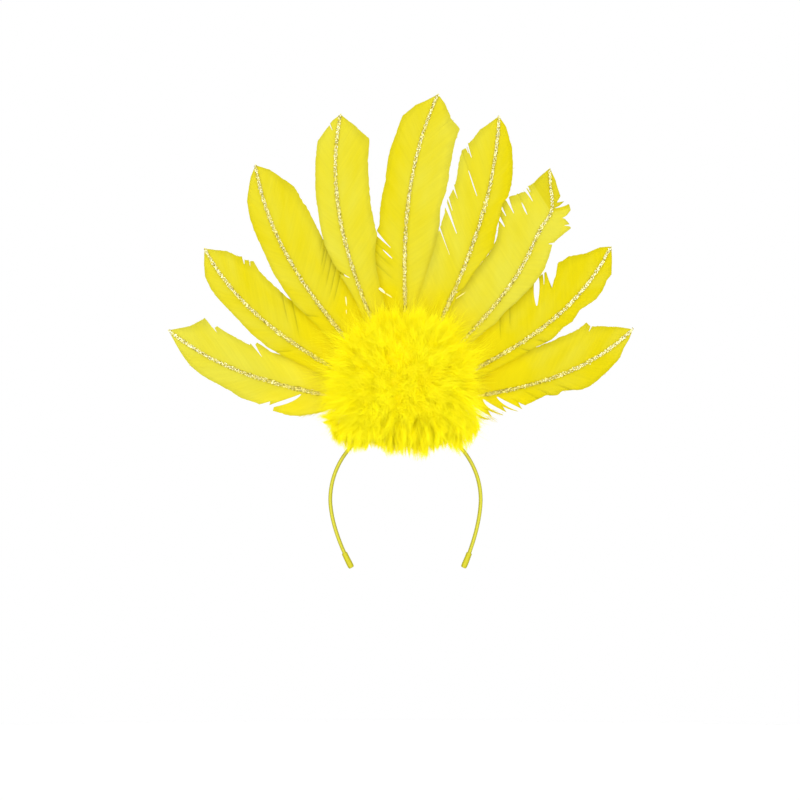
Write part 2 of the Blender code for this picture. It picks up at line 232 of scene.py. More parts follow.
def woven_satin(name, light, shade, thread):
    """Polyester satin ribbon: the soft streaked shine of its long floats is painted into the colour as
    streaks along it, and its tone paints shade.
    """
    look, tree = new_look(name)
    streaks = noise(tree, coordinates(tree, "UV", (0.03, 1.0, 1.0)), 0.4 / thread, 2.0)
    uneven = ranged(tree, streaks, 0.3, 0.7, -0.15, 0.15)
    lit = combined(tree, "ADD", attribute(tree, "tone"), uneven, use_clamp=True)
    threads = node(
        tree, "TexWave",
        {"Vector": coordinates(tree, "UV"), "Scale": 0.31 / thread, "Distortion": 0.4},
        bands_direction="Y",
    )
    normal = bumped(tree, threads.outputs["Fac"], 0.1, 0.00004)
    colour = mixed(tree, lit, shade, light)
    return finished(
        look, principled(tree, base_color=colour, normal=normal, roughness=0.4, ior=1.45, specular=0.1)
    )


def toned(piece, tones, name="tone"):
    """Gives each point of a piece its own tone, 0 to 1, for the material to read."""
    layer = piece.data.attributes.new(name, "FLOAT", "POINT")
    layer.data.foreach_set("value", np.clip(tones, 0, 1).ravel().astype(np.float32))
    return piece


satin = woven_satin("polyester_satin_ribbon", SATIN_YELLOW, SATIN_SHADE, SATIN_THREAD)
drops = np.linspace(LEG_DROP, 0, LEG_RINGS + 1)[:-1]
turns = np.radians(np.linspace(-90, 90, ARCH_RINGS))
left_x, left_z = leg_point(-1, drops)
right_x, right_z = leg_point(1, drops[::-1])
path_x = np.concatenate([left_x, BAND_SPAN / 2 * np.sin(turns), right_x])
path_z = np.concatenate([left_z, WIDEST_LEVEL + BAND_RISE * np.cos(turns), right_z])
travel = np.concatenate([[0], np.cumsum(np.hypot(np.diff(path_x), np.diff(path_z)))])
section = full_turn(SECTION_SIDES)
grid = band_grid(path_x, path_z, section, BAND_THICKNESS - 2 * LAP_HEIGHT, BAND_DEPTH - 0.1)
middle = points_of(path_x, 0, path_z)[:, None]
inner = np.clip(-np.cos(section), 0, 1)
lap = LAP_HEIGHT * (0.5 + 0.5 * np.tanh((np.sin(section) - 0.1) / 0.12)) * (inner > 0)
pucker = PUCKER_HEIGHT * np.sin(2 * math.pi * travel / PUCKER_PITCH + 2 * np.sin(travel / 17))
outward = (grid - middle) / np.linalg.norm(grid - middle, axis=2, keepdims=True)
grid = grid + outward * (lap[None, :] + pucker[:, None] * inner[None, :])[..., None]
girth = section / (2 * math.pi) * 2 * (BAND_THICKNESS + BAND_DEPTH) * 0.9
uv = points_of(travel[:, None], girth)
band = closed_tube("band_satin_cover", grid[:, ::-1], [satin], uv[:, ::-1])
# Painted shade: the band darkens towards the rounded edges of its section, on the band and its folded ends.
edge_shade = 0.95 - 0.9 * np.clip((np.abs(np.cos(section)) - 0.1) / 0.6, 0, 1)
toned(band, np.tile(edge_shade[::-1], len(travel)))
mount(band, "satin", "headband")


# Band ends.
# Each tip of the band has a short fold of the same satin drawn over it and glued, so the last
# 12 mm are thicker, with a soft lip at the mouth and a pressed, rounded end.

SLEEVE_LENGTH = 12.0
SLEEVE_WALL = 0.6
END_FOLDS = 0.02        # depth of the pressed folds at the closed end, as a share of the section
END_FOLD_RISE = 1.5
FOLD_YELLOW = "C6BE32"
PROFILE_STATIONS = 64
LADDER_RINGS = 80

# Height above the end and share of the full section, from inside the mouth, over the lip,
# down the outside and across the closed end.
SLEEVE_PROFILE = [
    (11.2, 0.70), (11.9, 0.73), (12.0, 0.79), (11.8, 0.86), (11.0, 0.91), (9.8, 0.88), (8.6, 0.89),
    (6.0, 0.93), (3.0, 0.95), (1.5, 0.94), (0.6, 0.87), (0.15, 0.70), (0.0, 0.40), (0.0, 0.05),
]

satin_end = woven_satin("folded_satin_end", FOLD_YELLOW, SATIN_SHADE, SATIN_THREAD)
heights, shares = np.array(SLEEVE_PROFILE).T
corners = np.arange(len(heights))
stations = np.interp(np.linspace(0, 1, PROFILE_STATIONS), np.linspace(0, 1, len(heights)), corners)
heights, shares = np.interp(stations, corners, heights), np.interp(stations, corners, shares)
closed_end = LEG_DROP + CLEARANCE + SLEEVE_WALL
for side, node_name in ((-1, "band_end_left"), (1, "band_end_right")):
    ladder = closed_end - np.linspace(SLEEVE_LENGTH, 0, LADDER_RINGS)
    ladder_x, ladder_z = leg_point(side, ladder)
    wide = 2 * (SLEEVE_WALL + CLEARANCE)
    full = band_grid(ladder_x, ladder_z, section, BAND_THICKNESS + wide, BAND_DEPTH + wide)
    centre = points_of(ladder_x, 0, ladder_z)[:, None]
    place = (SLEEVE_LENGTH - heights) / SLEEVE_LENGTH * (LADDER_RINGS - 1)
    low = np.floor(place).astype(int).clip(0, LADDER_RINGS - 2)
    part = (place - low)[:, None, None]
    ring = full[low] * (1 - part) + full[low + 1] * part
    core = centre[low] * (1 - part) + centre[low + 1] * part
    pressed = np.multiply.outer(heights < END_FOLD_RISE, 1 + np.cos(5 * section + side))
    grid = core + (ring - core) * shares[:, None, None] * (1 - END_FOLDS * pressed)[..., None]
    uv = points_of(heights[:, None], girth)
    sleeve = closed_tube(f"satin_fold_{node_name[9:]}", grid[:, ::-1], [satin_end], uv[:, ::-1])
    toned(sleeve, np.tile(edge_shade[::-1], len(heights)))
    mount(sleeve, "satin", node_name)


# Backing.
# A plate die-cut from 2 mm yellow craft felt, glued to the front of the band. The quills and
# the marabou are glued to it. Its edges are soft and its face is matted fibre.

HUB_SIDE = -2.8
HUB_HEIGHT = 5.0
BACKING_RADIUS = 36.0
BACKING_FOOT = 17.0
BACKING_THICKNESS = 2.0
BACKING_FRONT = -(BAND_DEPTH / 2 + CLEARANCE + BACKING_THICKNESS)
RIM_ARC = 121           # points on the arch of the plate's outline, on each side and on the foot
RIM_SIDE = 20
RIM_FOOT = 58
RIM_MIDDLE = 8.0        # the outline shrinks towards a point this far above the hub
FELT_FIBRE = 0.5        # matted fibres are finer, drawn at half a millimetre so that they show
FELT_YELLOW = "EEDC1E"
FELT_SHADE = "D2BC12"


def craft_felt():
    """Needled polyester felt: dull, matted, with fibres lying every way and small dark pits."""
    look, tree = new_look("needled_craft_felt")
    place = coordinates(tree, "Object")
    fibres = noise(tree, place, 1000 / FELT_FIBRE / 2, 6.0, Roughness=0.7, Distortion=1.5)
    patches = noise(tree, place, 1000 / 9.0, 2.0)
    spread = ranged(tree, combined(tree, "MULTIPLY", fibres, patches), 0.12, 0.42)
    shader = principled(
        tree, base_color=mixed(tree, spread, FELT_SHADE, FELT_YELLOW),
        normal=bumped(tree, fibres, 0.8, 0.0004), roughness=0.95, sheen_weight=0.4, sheen_roughness=0.6,
    )
    return finished(look, shader)


# Inset from the plate's outline and share of its thickness, over the front, round the soft
# edge and over the back.
FELT_PROFILE = [
    (35.0, 0.0), (24.0, 0.0), (12.0, 0.0), (4.0, 0.0), (1.0, 0.0), (0.35, 0.10), (0.05, 0.30), (0.0, 0.50),
    (0.05, 0.70), (0.35, 0.90), (1.0, 1.0), (4.0, 1.0), (12.0, 1.0), (24.0, 1.0), (35.0, 1.0),
]
bend = np.radians(np.linspace(0, 180, RIM_ARC))
ends = np.ones(RIM_SIDE)
flat = np.linspace(-1, 1, RIM_FOOT + 2)[1:-1]
rim_x = HUB_SIDE + BACKING_RADIUS * np.concatenate([np.cos(bend), -ends, flat, ends])
foot = HUB_HEIGHT - BACKING_FOOT
down = np.linspace(HUB_HEIGHT, foot, RIM_SIDE + 2)[1:-1]
rim_z = np.concatenate([HUB_HEIGHT + BACKING_RADIUS * np.sin(bend), down, foot + 0 * flat, down[::-1]])
middle_z = HUB_HEIGHT + RIM_MIDDLE
away = np.hypot(rim_x - HUB_SIDE, rim_z - middle_z)
insets, depths = np.array(FELT_PROFILE).T
keep = np.clip(1 - insets[:, None] / away[None, :], 0.03, 1)
face_y = BACKING_FRONT + depths[:, None] * BACKING_THICKNESS
grid = points_of(HUB_SIDE + (rim_x - HUB_SIDE) * keep, face_y, middle_z + (rim_z - middle_z) * keep)
felt = closed_tube("felt_backing", grid[:, ::-1], [craft_felt()])
mount(felt, "felt", "backing")


# Feathers.
# Nine goose wing feathers dyed yellow. Their tips are cut to a point with scissors, and some of
# the barbs have parted or frayed. The underside is paler, and the quill stands out on it.

ROOT_RING = 30.0
BARE_QUILL = 15.0
LAYER_RUN = 45.0
FEATHER_REACH = 260.0
VANE_WIDTH = 45.0
CAMBER = 1.4
TIP_CURL = 8.0
QUILL_ROOT = 2.6
QUILL_TIP = 1.0
QUILL_RINGS = 64
LAYER_STEP = 0.9 + CAMBER + CLEARANCE
QUILL_PLANE = BACKING_FRONT - CLEARANCE - QUILL_ROOT / 2
SHEET = 0.32            # thickness of a vane
BARB_ROWS = 220
BARB_COLUMNS = 11
BARB_PITCH = 1.1        # real barbs are 0.3 to 0.5 mm apart, drawn coarser so that they show
DYED_FULL = "DED200"
DYED_PALE = "DFD944"
LINE_SHADE = 0.955      # how dark the lines between barbs are
PAINTED_LIGHT_TO_SHADE = (1.12, 0.52)   # how bright the colour is with no painted shade, and with full painted shade
FACE_PAINTED_SHADE = 0.2        # how much painted shade the open face has, and how much a crease or the rim adds
CREASE_PAINTED_SHADE = 0.75
TIP_RUN = 31.0          # over its last 31 mm a tip is painted deeper and darker, as the shade of a fold
BASE_END = 115.0        # the painted light on the base by the fluff fades out before here, over the base run
BASE_RUN = 45.0
BASE_PAINTED_LIGHT = 0.45
THROUGH = 0.35          # share of the light that a vane lets through
LOOSE_INSIDE = (52.0, 74.0)
LOOSE_BY_FLUFF = 26     # loose barbs on each side, between those distances from the hub
LOOSE_FARTHER = 14      # and loose barbs beyond

Feather = namedtuple(
    "Feather", "lean length bow layer dye tilt slant shine left right kink tip", defaults=(0.0, 0.0)
)
# lean: degrees from upright, right of it positive. length: from the hub to the tip. bow and kink:
# shares of FEATHER_REACH. dye: how much it took, 0 pale and 1 full. tilt: how much more dye the left
# side is painted with, the painted light and shade of the vane's two sloping halves. tip: how much more
# dye and shade the tip is painted with, the painted shade of a fold. slant: how steep its barbs lie, 1
# usual. shine: how much lighter the flakes on the outer half of its line are, painted glints. left and
# right: the outline beside the shaft from the base to the tip, as pairs of the distance from the hub
# along the feather and the distance out from its shaft.
FEATHERS = [
    Feather(-69.1, 201.0, -0.041, 0, 0.10, 0.00, 1.3, 1.5,
        [(50, 5), (64.5, 15.3), (76.9, 21.2), (84.7, 22.5), (99.5, 22), (103, 15), (110, 19.6),
         (127, 19.3), (137, 17.3), (164, 15.2), (174, 13.7), (186, 8.1), (200.2, 0)],
        [(52, 12), (68, 19), (85, 22), (104, 23), (118, 23), (131, 26.5), (134, 22.8), (144, 23.8),
         (155, 24.1), (165, 25.4), (167, 23.1), (176, 25.9), (185, 13.9), (200.2, 0)]),
    Feather(-49.1, 209.8, -0.050, 1, 0.62, -0.10, 1.15, 1.25,
        [(52, 8), (79, 10), (99, 12.2), (119, 14.6), (138, 14.2), (150, 13), (183, 13.7), (194, 11.7),
         (201, 6.9), (209, 0)],
        [(55, 14), (72, 21), (92, 26), (110, 28), (129, 27), (152, 26.3), (164, 26.6), (173, 27.8),
         (176.5, 25), (183, 20.9), (194, 15.2), (209, 0)]),
    Feather(-29.9, 235.6, -0.056, 2, 0.66, 0.00, 1.0, 1.05,
        [(55, 9), (90, 11), (107, 12.8), (127, 16.4), (151, 16.6), (177, 15), (192, 15.6), (205, 14.5),
         (213, 13.4), (228, 6), (234.6, 0)],
        [(55, 14), (72, 21), (90, 26), (108, 29), (130, 31), (164, 31.7), (185, 31.3), (196, 28.9),
         (206, 26.6), (214, 20.5), (226, 10.9), (234.6, 0)]),
    Feather(-11.3, 249.4, -0.066, 3, 0.40, -0.15, 1.0, 0.95,
        [(55, 6), (80, 6), (100, 6.6), (113, 8.9), (133, 14), (146, 16.2), (169, 16.8), (201, 16.6),
         (231, 15.9), (245, 5.8), (248.5, 0)],
        [(55, 12), (85, 14), (109, 16.5), (121, 18), (137, 21.5), (148, 25.9), (177, 26.5), (193, 27.1),
         (225, 26.6), (237, 14.3), (248.5, 0)]),
    Feather(6.4, 262.5, -0.055, 2, 0.60, 0.35, 0.9, 1.0,
        [(55, 13), (72, 20), (95, 26), (120, 28), (136, 26.5), (144, 23.5), (152, 21.2), (164, 22.2),
         (189, 20.6), (205, 22.2), (232, 20.6), (241, 20.6), (251, 14), (255, 7.7), (261.6, 0)],
        [(55, 14), (75, 21), (98, 25.5), (125, 26.6), (152, 26.4), (170, 26.3), (186, 29), (219, 27.3),
         (236, 27.6), (243, 18.4), (255, 8.3), (261.6, 0)]),
    Feather(17.7, 255.3, 0.045, 3, 0.72, -0.45, 1.2, 1.05,
        [(55, 13), (68, 19), (84, 23), (98, 24.6), (124, 26.6), (149, 28.9), (166, 28.8), (178, 30.2),
         (195, 26.8), (207, 28.3), (220, 27.8), (224, 23.4), (240, 14.4), (254.4, 0)],
        [(55, 3.5), (96, 3.2), (106, 4.6), (117, 6.6), (130, 9.1), (142, 12.9), (153, 16.1), (167, 14.4),
         (188, 13.4), (195, 16.1), (205, 16.6), (221, 15.4), (234, 12.3), (248, 6.3), (254.4, 0)]),
    Feather(30.4, 233.6, 0.081, 2, 0.18, 0.10, 0.5, 1.2,
        [(55, 16), (75, 25), (100, 30), (130, 30), (158, 27.8), (173, 31), (189, 37.2), (198, 34.4),
         (204, 29.4), (209, 23.9), (217, 15.5), (233, 0)],
        [(55, 7), (80, 7), (95, 7.8), (103, 10.2), (115, 9.9), (130, 12.8), (148, 15.6), (161, 16.7),
         (182, 14.3), (192, 17.1), (201, 19.7), (205, 12.5), (212, 17.2), (217, 16.5), (211, 4),
         (217.5, 8.8), (227, 5.2), (233, 0)], 0.023, 0.6),
    Feather(50.4, 217.6, 0.060, 1, 0.90, 0.00, 0.75, 1.7,
        [(55, 13), (72, 21), (92, 27), (115, 31), (140, 33), (156, 33), (164, 32), (161, 21.5),
         (168, 24.4), (175, 29.5), (186, 25.7), (197, 16.8), (210, 8), (217, 0)],
        [(55, 8), (90, 8), (118, 9.4), (133, 12.1), (146, 10.2), (155, 11.7), (165, 9.1), (181, 13.4),
         (189, 13.4), (197, 11.2), (203, 11.9), (211, 5.9), (217.2, 0.3)]),
    Feather(68.6, 199.6, 0.052, 0, 0.85, -0.10, 1.0, 1.5,
        [(52, 12), (68, 19), (88, 24), (110, 27), (135, 27.9), (159, 27.2), (166, 28.1), (168, 24),
         (176, 18.8), (187, 11.1), (198.6, 0)],
        [(50, 10), (57, 18), (66, 20.5), (66.5, 12.5), (72, 16.5), (78, 19.2), (78.5, 11.5), (84, 16),
         (90.5, 19), (91, 11), (95, 15), (104, 13.4), (114, 11.4), (123, 14.4), (128, 12.6), (134, 14.4),
         (142, 17.3), (150, 18), (160, 16), (172, 13.4), (181, 11), (186, 7), (193, 4), (198.6, 0)]),
]

Split = namedtuple("Split", "side at out gap lift until", defaults=(0.3, 1.0))
# A parting between two barbs. at and out: its inner end, along the feather and out from its shaft.
# gap: how wide it opens, 0 for a crease. lift: how far one side comes to lie in front of the other,
# and how much painted shade falls on the barbs beyond it.
# until: the share of the barbs that it runs to, more than 1 for a lock that hooks back at its end.
SPLITS = {
    1: [(-1, 83, 3, 5.6, 0.3, 1.3), (1, 122, 17, 4), (1, 165, 22.5, 1.4)],
    2: [(1, 175, 20, 3), (1, 171, 24, 1.3), (1, 118, 10, 0, 0.7), (1, 104, 6, 0, 0.8),
        (-1, 100, 4, 0, 0.6)],
    3: [(1, 106, 9, 0, 0.9), (1, 113, 10, 0, 0.8), (1, 121, 12, 0, 0.9), (1, 129, 14, 0, 0.7),
        (1, 137, 18, 0, 0.8), (1, 146, 23, 0, 0.5), (-1, 102, 5, 0, 0.6)],
    4: [(-1, 237, 4.5, 0.8), (-1, 118, 4, 2.6)],
    5: [(-1, 134, 10.5, 3.4), (-1, 126, 9.5, 0.5, 0.4, 0.72), (-1, 117, 8, 0, 0.6),
        (-1, 108, 7, 0, 0.7), (1, 233, 11.5, 0.8, 0.1, 0.65)],
    6: [(-1, 216, 21, 1.4), (-1, 211, 17, 2.6), (-1, 186, 7, 0.6, 0.3, 0.75), (-1, 180, 22, 2.6),
        (-1, 170, 24, 1.4), (-1, 152, 13, 3, 0.4), (-1, 136, 14, 0.9, 0.4), (1, 108, 1.5, 1, 0.4)],
    7: [(-1, 207, 19, 1.6), (-1, 202, 17, 2.6), (-1, 191, 15.5, 0.6, 0.3, 0.8), (-1, 186, 25, 2.4),
        (-1, 180, 27, 1.6), (-1, 172, 24, 2.4), (1, 203, 10, 2.2), (1, 198, 14, 1.2), (1, 207, 3, 2.4),
        (1, 179, 10, 0.9)],
    8: [(-1, 140, 15.5, 5.6, 0.3, 1.2), (-1, 160, 21, 3.4), (-1, 153, 24, 1), (1, 122, 4, 0, 0.8),
        (-1, 112, 14, 0, 0.8), (-1, 100, 10, 0, 0.8), (1, 108, 3, 0, 0.7)],
    9: [(1, 55.5, 3, 4.4, 0.3, 1.4), (1, 66.5, 2.5, 4.8, 0.3, 1.4), (1, 77.5, 2.5, 4.8, 0.3, 1.4),
        (1, 98, 3, 0, 0.5), (1, 109, 4, 0, 0.6), (1, 124, 5, 0, 0.6), (-1, 165, 22, 1)],
}


def smooth(share):
    """0 to 1 with level ends: three times the square less twice the cube."""
    share = np.clip(share, 0, 1)
    return share * share * (3 - 2 * share)


def shaft_offset(feather, t):
    """Sideways arc of a shaft: its run to the power 1.5 times what is left, and a bell near the tip."""
    reach = feather.length
    u = np.clip((t - ROOT_RING) / (reach - ROOT_RING), 0, 1)
    arc = u ** 1.5 * (1 - u) / (0.6 ** 1.5 * 0.4)
    return FEATHER_REACH * (feather.bow * arc + feather.kink * np.exp(-(((u - 0.86) / 0.07) ** 2)))


def shaft_depth(feather, t):
    """Place of a shaft front to back: a smooth rise to its layer, then back by the square of its run."""
    rise = smooth((t - ROOT_RING) / LAYER_RUN) * feather.layer * LAYER_STEP
    return QUILL_PLANE - rise + TIP_CURL * ((t - ROOT_RING) / FEATHER_REACH) ** 2


def camber(w):
    """How far a vane lies behind its shaft: it grows with the square of the width, up to a limit."""
    return CAMBER * np.minimum(np.abs(w) / (VANE_WIDTH / 2), 1) ** 2


def quill_size(feather, t):
    """Width of a quill: it falls evenly from its cut end to the tip."""
    share = (t - ROOT_RING) / (feather.length - ROOT_RING)
    return QUILL_ROOT + (QUILL_TIP - QUILL_ROOT) * share


def placed(feather, t, w, y):
    """Points from a feather's length t and width w, turned by its lean about the hub, at depth y."""
    lean = math.radians(feather.lean)
    side = w + shaft_offset(feather, t)
    x = HUB_SIDE + t * math.sin(lean) + side * math.cos(lean)
    z = HUB_HEIGHT + t * math.cos(lean) - side * math.sin(lean)
    return points_of(x, y, z)


def barb_slant(feather, t):
    """How far a barb runs along the feather for each millimetre out: little at the base, much at the tip."""
    return feather.slant * np.interp(t / feather.length, [0.25, 0.5, 0.8, 1.0], [0.5, 0.85, 1.1, 1.6])


def barb_ends(feather, outline, roots, noise):
    """Where the barb from each root ends, along and out.

    Each outline point belongs to the root that lies its width times the slant nearer the hub.
    Between those roots the end runs straight, and a little noise frays it.
    """
    along, out = np.array(outline, float).T
    owner = along - out * barb_slant(feather, along)
    owner = np.maximum.accumulate(owner + np.arange(len(owner)) * 0.01)
    return np.interp(roots, owner, along), np.interp(roots, owner, out) * (1 + noise)


def rough(seed, count, length):
    """Seeded noise along a row, between -1 and 1, that changes over about `length` steps."""
    knots = np.random.default_rng(seed).uniform(-1, 1, max(4, int(count / length) + 2))
    place = np.linspace(0, len(knots) - 1, count)
    low = np.floor(place).astype(int).clip(0, len(knots) - 2)
    share = smooth(place - low)
    return knots[low] * (1 - share) + knots[low + 1] * share


def vane_mesh(number, feather):
    """Points, faces, UV, dye and shade of a vane: rows are barbs, columns run out to both edges.

    A barb goes out evenly and along by a power of the same share, so it hooks near the base.
    The edges lie back by the square of their width, and each barb rises and falls with its
    neighbours. Where a split runs, the faces between two rows are left out and the rows part.
    Shade is painted shade: on the outer fifth and beside the creases, where it falls off over a
    millimetre, and over a tip. The barbs by the fluff are painted lit, with more dye and less shade.
    """
    bare = ROOT_RING + BARE_QUILL
    roots = bare + (feather.length - bare - 0.4) * np.linspace(0, 1, BARB_ROWS)
    share = np.linspace(0, 1, BARB_COLUMNS)
    power = (1.15 + 1.0 * (1 - smooth((roots - 50) / 50)))[:, None]
    kept = np.ones((BARB_ROWS - 1, 2 * BARB_COLUMNS - 2), bool)
    halves = []
    for side, outline in ((-1, feather.left), (1, feather.right)):
        seed = 40 * number + 7 * side
        fray = 0.012 * rough(seed, BARB_ROWS, 2) + 0.014 * rough(seed + 1, BARB_ROWS, 9)
        along, out = barb_ends(feather, outline, roots, fray)
        start = smooth((roots - bare) / 6)[:, None]
        w = out[:, None] * share * start
        t = roots[:, None] + (along - roots)[:, None] * share ** power * start
        wave = 0.30 * rough(seed + 2, BARB_ROWS, 14) + 0.12 * rough(seed + 3, BARB_ROWS, 4)
        back = camber(w) + wave[:, None] * share ** 1.4
        # Painted shade on the outer fifth of each side.
        dark = 0.25 * smooth((share - 0.8) / 0.2) + 0 * t
        for split in (Split(*row) for row in SPLITS[number]):
            if split.side != side:
                continue
            root = split.at - split.out * barb_slant(feather, split.at)
            row = int(np.clip(np.searchsorted(roots, root), 1, BARB_ROWS - 2))
            first = min(split.out / max(out[row], 1), 0.9)
            run = np.clip((share - first) / (split.until - first), 0, 1)
            opening = run ** 1.3 if split.until == 1.0 else np.sin(math.pi * run)
            pitch = roots[1] - roots[0]
            distance = (np.arange(BARB_ROWS) - row - 0.5) * pitch
            pull = (np.sign(distance) * np.exp(-np.abs(distance) / 5))[:, None]
            back = back + split.lift * pull * run
            # Painted shade on the barbs just beyond a split, by its lift.
            beside = (np.exp(-np.abs(distance)) * (distance > 0))[:, None]
            dark = dark + split.lift * beside * np.minimum(3 * run, 1)
            if split.gap == 0:
                continue
            pinch = (np.sign(distance) * np.exp(-np.abs(distance) / 2))[:, None]
            closed = (1 - opening) * (share >= first - 0.01)
            t = t + split.gap / 2 * pull * opening - 0.45 * pitch * pinch * closed
            cells = np.flatnonzero((share[:-1] >= first - 0.01) & (share[1:] <= split.until + 0.01))
            kept[row, BARB_COLUMNS - 1 + cells if side > 0 else BARB_COLUMNS - 2 - cells] = False
        halves.append((t, side * w, shaft_depth(feather, t) + back, dark))
    t, w, y, dark = (np.concatenate([left[:, :0:-1], right], 1) for left, right in zip(*halves))
    # Tilt paints one half of the vane more saturated than the other as light and shade, and the tip's extra
    # dye and shade are the painted shade of a fold.
    dye = feather.dye - feather.tilt * w / 25 + 0.12 * rough(40 * number, BARB_ROWS, 20)[:, None]
    tip = feather.tip * smooth((roots - feather.length + TIP_RUN) / 1.5)[:, None]
    uv = points_of(roots[:, None], w)
    faces = grid_faces(BARB_ROWS, 2 * BARB_COLUMNS - 1)[kept.ravel()]
    # Painted light on the base by the fluff: more dye and less shade than the open face.
    base = smooth((BASE_END - roots) / BASE_RUN)[:, None]
    shade = FACE_PAINTED_SHADE * (1 - base) + CREASE_PAINTED_SHADE * (dark + 0.25 * tip)
    return placed(feather, t, w, y), faces, uv, dye + tip + BASE_PAINTED_LIGHT * base, shade


def unit(vectors):
    """The same directions, each of length one."""
    return vectors / np.linalg.norm(vectors, axis=-1, keepdims=True)


def strands(name, roots, tips, sags, widths, tones, look, rings):
    """Tapered three-sided barbs, closed at both ends.

    A barb's axis runs evenly from its root to its tip and is bowed aside by its sag, four times
    the run times what is left of it. Its sections narrow towards a single point.
    """
    count = len(roots)
    run = np.linspace(0, 1, rings + 1)
    taper = np.append(0.8, np.linspace(1.0, 0.62, rings)[: rings - 1])
    bow = (4 * run * (1 - run))[:, None]
    axis = roots[:, None] + (tips - roots)[:, None] * run[:, None] + sags[:, None] * bow
    way = unit(tips - roots)
    helper = np.where(np.abs(way[:, 1:2]) < 0.8, [[0.0, 1.0, 0.0]], [[1.0, 0.0, 0.0]])
    first = unit(np.cross(way, helper))
    second = unit(np.cross(way, first))
    angle = np.arange(3) * 2 * math.pi / 3
    spokes = np.cos(angle)[:, None] * first[:, None] + np.sin(angle)[:, None] * second[:, None]
    sections = axis[:, :rings, None] + spokes[:, None] * (widths[:, None] * taper / 2)[..., None, None]
    points = np.concatenate([sections.reshape(count, 3 * rings, 3), axis[:, rings:]], 1)
    step = np.arange(3)
    after = (step + 1) % 3
    quads = np.concatenate(
        [np.stack([step + k, after + k, after + k + 3, step + k + 3], 1) for k in range(0, 3 * rings - 3, 3)]
    )
    last = 3 * rings - 3
    ends = np.stack([step + last, after + last, np.full(3, 3 * rings)], 1)
    triangles = np.concatenate([ends, [[2, 1, 0]]])
    shift = (3 * rings + 1) * np.arange(count)[:, None, None]
    faces = (quads[None] + shift).reshape(-1, 4).tolist() + (triangles[None] + shift).reshape(-1, 3).tolist()
    down = np.append(np.repeat(run[:rings], 3), 1.0)
    uv = points_of(down, np.arange(count)[:, None] * 0.37)
    piece = surface(name, points, faces, [look], uv)
    piece.data.shade_flat()
    return toned(piece, np.repeat(tones, 3 * rings + 1))


def lit_through(tree, shader, share, inputs):
    """A shader mixed with the light that comes through from behind, by a share."""
    glow = node(tree, "BsdfTranslucent", inputs)
    return node(tree, "MixShader", {0: share, 1: shader.outputs[0], 2: glow.outputs[0]})


def goose_vane(name, full, pale, through):
    """Goose vane dyed in the piece: dull keratin barbs with fine lines, and soft pale patches, painted light
    from the white room.

    Light comes through it, so it glows a little where nothing lies behind.
    """
    look, tree = new_look(name)
    barbs = noise(
        tree, coordinates(tree, "UV", (1.0, 0.07, 1.0)), 0.5 / BARB_PITCH, 4.0, Roughness=0.65
    )
    # Soft pale patches: painted light.
    patches = noise(tree, coordinates(tree, "UV", (0.035, 0.045, 1.0)), 1.0, 3.0)
    uneven = ranged(tree, patches, 0.3, 0.7, -0.25, 0.25)
    dye_and_painted_light = combined(tree, "ADD", attribute(tree, "tone"), uneven, use_clamp=True)
    lines = ranged(tree, barbs, 0.32, 0.62, LINE_SHADE, 1.0)
    # The shade attribute is painted shade: above its even level the colour is darker, below it lighter.
    painted_light_and_shade = ranged(tree, attribute(tree, "shade"), 0.0, 1.0, *PAINTED_LIGHT_TO_SHADE)
    darker = combined(tree, "MULTIPLY", lines, painted_light_and_shade)
    colour = mixed(tree, 1.0, mixed(tree, dye_and_painted_light, pale, full), darker, "MULTIPLY")
    normal = bumped(tree, barbs, 0.2, 0.0003)
    shader = principled(tree, base_color=colour, normal=normal, roughness=0.62, ior=1.54, specular=0.1)
    return finished(look, lit_through(tree, shader, through, {"Color": colour, "Normal": normal}))


def keratin_quill():
    """A dyed quill: smooth horn, clearer and darker than the barbs, with faint rings along it."""
    look, tree = new_look("dyed_keratin_quill")
    rings = noise(tree, coordinates(tree, "UV", (0.5, 0.08, 1.0)), 1.0, 3.0)
    colour = mixed(tree, rings, "DCC818", "EFE162")
    return finished(look, principled(tree, base_color=colour, roughness=0.35, ior=1.54, coat_weight=0.1))


def loose_barbs(number, feather, look):
    """Barbs that have come apart from the vane's edges: most by the fluff, a few short ones farther out.

    Each starts just inside the edge and runs on in its barb's direction, bent a little.
    """
    rng = np.random.default_rng(300 + number)
    roots, tips = [], []
    for side, outline in ((-1, feather.left), (1, feather.right)):
        along, out = np.array(outline, float).T
        by_fluff = rng.uniform(*LOOSE_INSIDE, LOOSE_BY_FLUFF)
        farther = rng.uniform(LOOSE_INSIDE[1], feather.length - 18, LOOSE_FARTHER)
        t = np.concatenate([by_fluff, farther])
        long = rng.uniform(3.5, 8.0, len(t)) * np.where(t < LOOSE_INSIDE[1], 1, 0.3)
        edge = np.interp(t, np.maximum.accumulate(along), out)
        w = side * edge * rng.uniform(0.86, 0.97, len(t))
        y = shaft_depth(feather, t) + camber(edge)
        roots.append(placed(feather, t, w, y))
        ahead = long * rng.uniform(0.5, 0.85, len(t))
        aside = side * np.sqrt(long ** 2 - ahead ** 2)
        tips.append(placed(feather, t + ahead, w + aside, y + rng.uniform(-0.4, 0.6, len(t))))
    roots, tips = np.concatenate(roots), np.concatenate(tips)
    sags = rng.normal(0, 0.5, roots.shape) * [1, 0.4, 1]
    widths = rng.uniform(0.28, 0.5, len(roots))
    tones = feather.dye + rng.normal(-0.1, 0.1, len(roots))
    return strands(f"feather_{number}_loose_barbs", roots, tips, sags, widths, tones, look, 3)


GLINT_LIFT = 0.6       # how far they stand out in front of the vane
GLINT_THICK = 2.8      # the width that is nearly white
